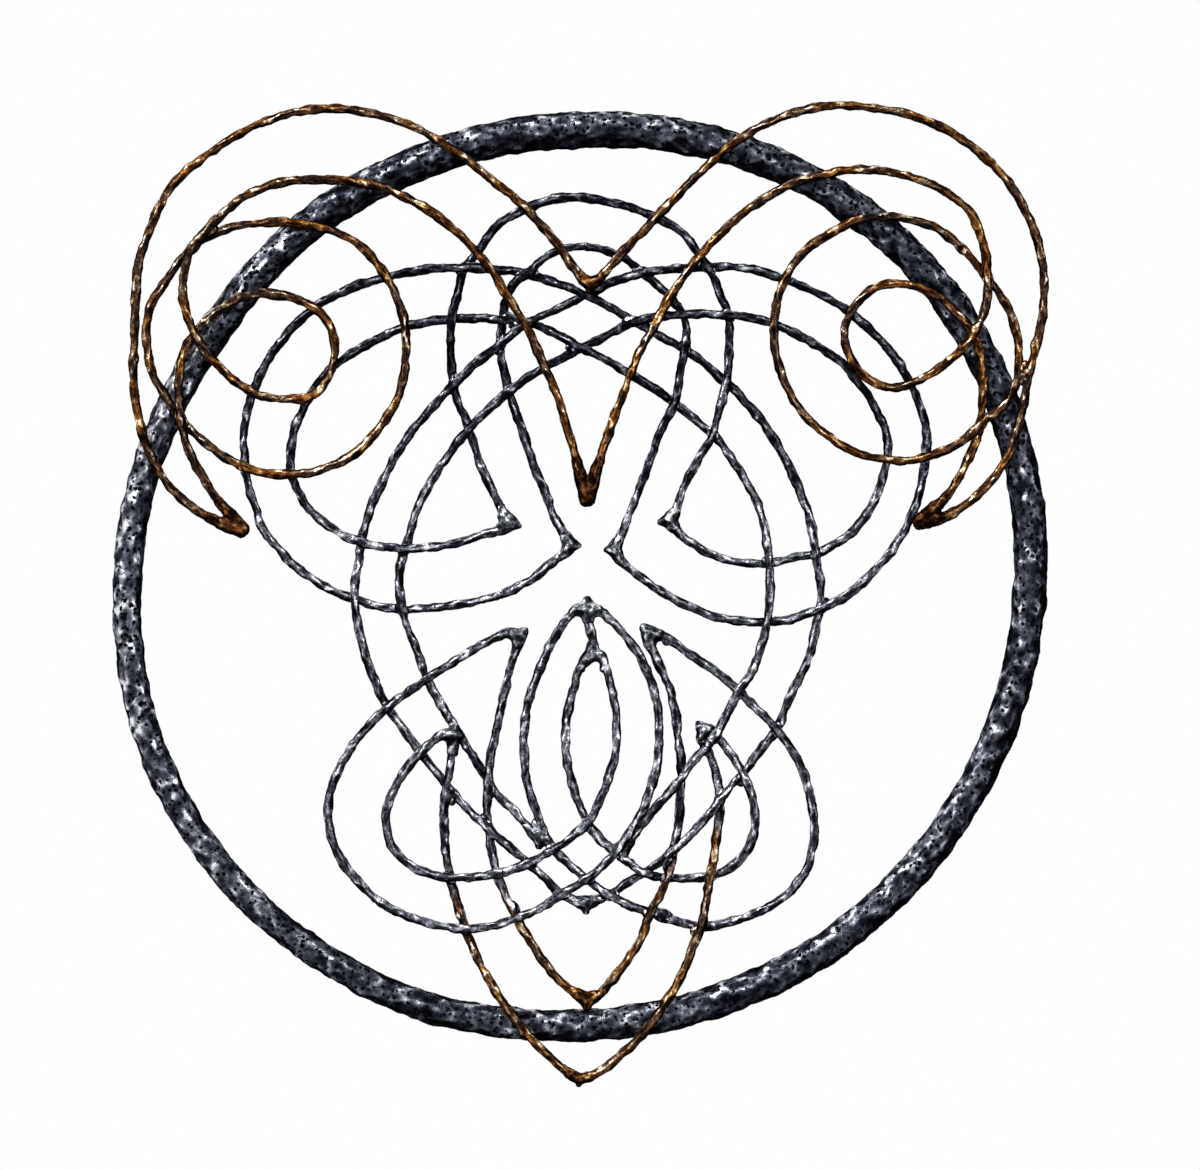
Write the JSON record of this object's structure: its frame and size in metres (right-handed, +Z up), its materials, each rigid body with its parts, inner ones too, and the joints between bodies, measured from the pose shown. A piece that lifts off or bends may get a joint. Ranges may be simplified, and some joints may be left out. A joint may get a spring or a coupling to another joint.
{
  "type": "knotwork wall sculpture",
  "caption": "Ram's head with curled horns in knotwork of bent and welded round rods, set across a thicker round hoop, to hang on a wall.",
  "frame": {"origin": "centre of the hanging sleeve's mouth, on the wall plane behind the hoop's top", "axes": "+Z up, +X to the right as seen from the front, +Y towards the wall (the front faces -Y)"},
  "size_m": [0.6148, 0.0486, 0.6446],
  "materials": {
    "gunmetal_hoop": "dark blue-grey, pitted, with a worn silver sheen",
    "gunmetal_rod": "lumpy weld-bead texture, silver over dark blue-grey",
    "bronze_rod": "lumpy, bronze and rust patina",
    "two_tone_rod": "lumpy, dark grey above and rust brown below",
    "weld_grey": "bright lumpy weld metal",
    "weld_bronze": "lumpy weld metal, heat-tinted gold and brown",
    "sleeve_steel": "plain dark steel tube"
  },
  "bodies": {
    "root": {"hoop": "gunmetal_hoop", "horn_outer_left": "bronze_rod", "horn_outer_right": "bronze_rod", "horn_inner_left": "bronze_rod", "horn_inner_right": "bronze_rod", "horn_circle_left": "bronze_rod", "horn_circle_right": "bronze_rod", "brow_outer": "gunmetal_rod", "brow_inner": "gunmetal_rod", "ear_outer_left": "gunmetal_rod", "ear_outer_right": "gunmetal_rod", "ear_inner_left": "gunmetal_rod", "ear_inner_right": "gunmetal_rod", "cheek_outer_left": "gunmetal_rod", "cheek_outer_right": "gunmetal_rod", "cheek_inner_left": "gunmetal_rod", "cheek_inner_right": "gunmetal_rod", "nose_link": "gunmetal_rod", "chin_inner_left": "two_tone_rod", "chin_inner_right": "two_tone_rod", "chin_outer_left": "two_tone_rod", "chin_outer_right": "two_tone_rod", "weld_horn_peak": "weld_bronze", "weld_brow_outer_left": "weld_grey", "weld_brow_outer_right": "weld_grey", "weld_brow_inner_left": "weld_grey", "weld_brow_inner_right": "weld_grey", "weld_cheek_outer_left": "weld_grey", "weld_cheek_outer_right": "weld_grey", "weld_cheek_inner_left": "weld_grey", "weld_cheek_inner_right": "weld_grey", "weld_nose_top": "weld_grey", "weld_nose_almond": "weld_grey", "weld_nose_side_left": "weld_grey", "weld_nose_side_right": "weld_grey", "weld_face_point": "weld_grey", "weld_chin_inner": "weld_bronze", "weld_chin_point": "weld_bronze", "weld_horn_tip_left": "weld_bronze", "weld_horn_tip_right": "weld_bronze", "weld_horn_point": "weld_bronze", "hanging_sleeve": "sleeve_steel"}
  },
  "joints": []
}
